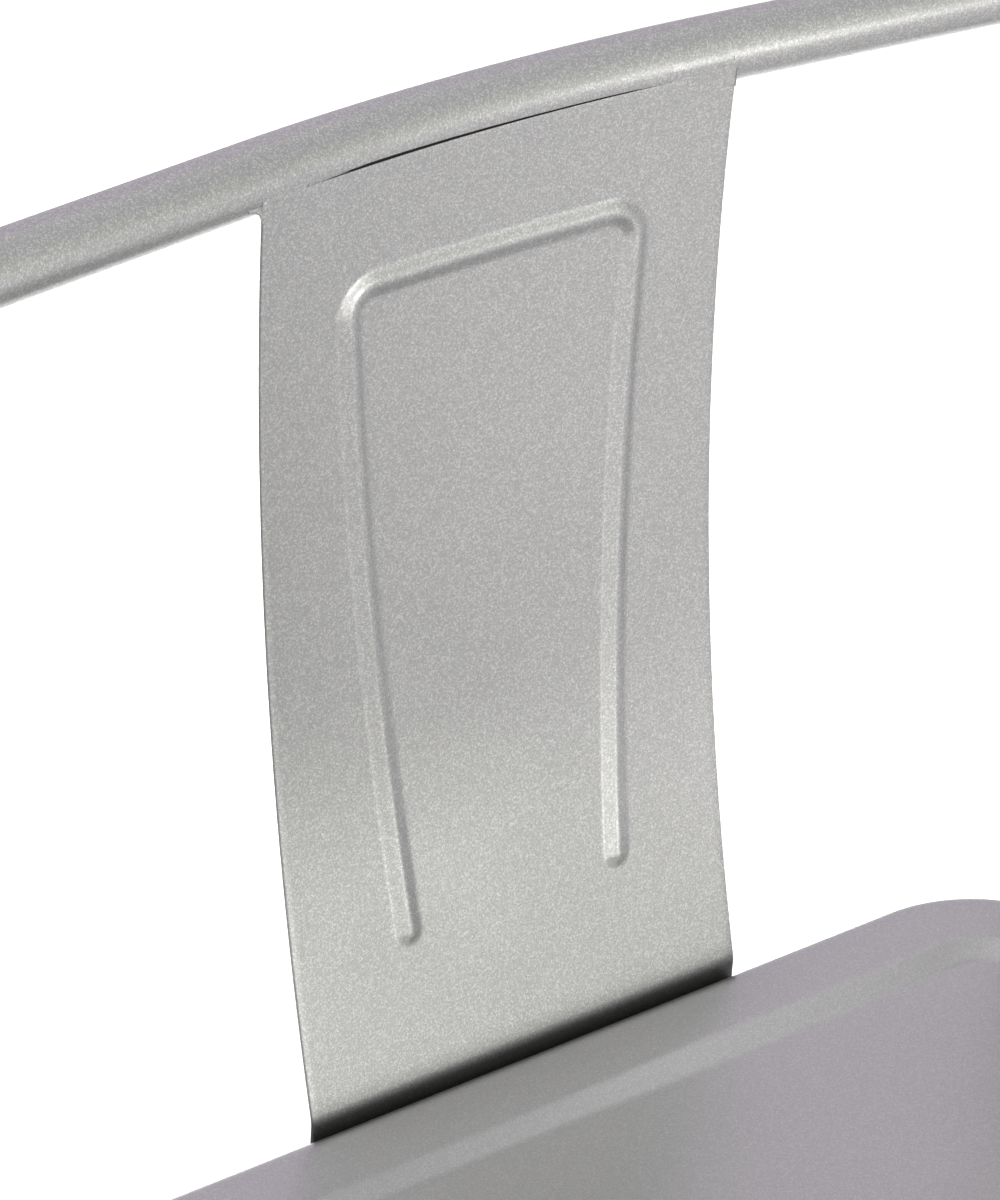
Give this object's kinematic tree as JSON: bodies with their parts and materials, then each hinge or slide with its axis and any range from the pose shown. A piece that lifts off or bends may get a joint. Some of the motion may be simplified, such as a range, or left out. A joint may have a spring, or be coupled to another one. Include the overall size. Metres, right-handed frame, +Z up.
{
  "type": "bar stool with back",
  "caption": "Sheet-steel bar stool with splayed pressed legs, a stepped seat pan, footrest bars and a bent tube back with a ribbed splat.",
  "frame": {"origin": "on the floor under the middle of the stool", "axes": "+Z up, the sitter faces -Y, +X to the right as seen from the front"},
  "size_m": [0.4974, 0.4806, 1.0969],
  "materials": {
    "silver_paint": "silver metallic powder coat, satin, with a fine speckle",
    "rubber": "matt black",
    "zinc": "zinc plated",
    "plug_plastic": "matt black"
  },
  "bodies": {
    "root": {"seat_pan": "silver_paint", "back_rail": "silver_paint", "back_splat": "silver_paint", "splat_weld_left": "silver_paint", "splat_weld_right": "silver_paint", "front_left_leg": "silver_paint", "front_right_leg": "silver_paint", "rear_left_leg": "silver_paint", "rear_right_leg": "silver_paint", "front_footrest": "silver_paint", "rear_stretcher": "silver_paint", "left_stretcher": "silver_paint", "right_stretcher": "silver_paint", "cross_brace_lower": "silver_paint", "cross_brace_upper": "silver_paint", "cross_brace_rivet": "silver_paint", "front_left_foot": "rubber", "front_right_foot": "rubber", "rear_left_foot": "rubber", "rear_right_foot": "rubber", "back_bolts": "zinc", "back_nuts": "zinc", "back_spacers": "zinc", "splat_screws": "zinc", "splat_nuts": "zinc", "rail_end_plugs": "plug_plastic"}
  },
  "joints": []
}
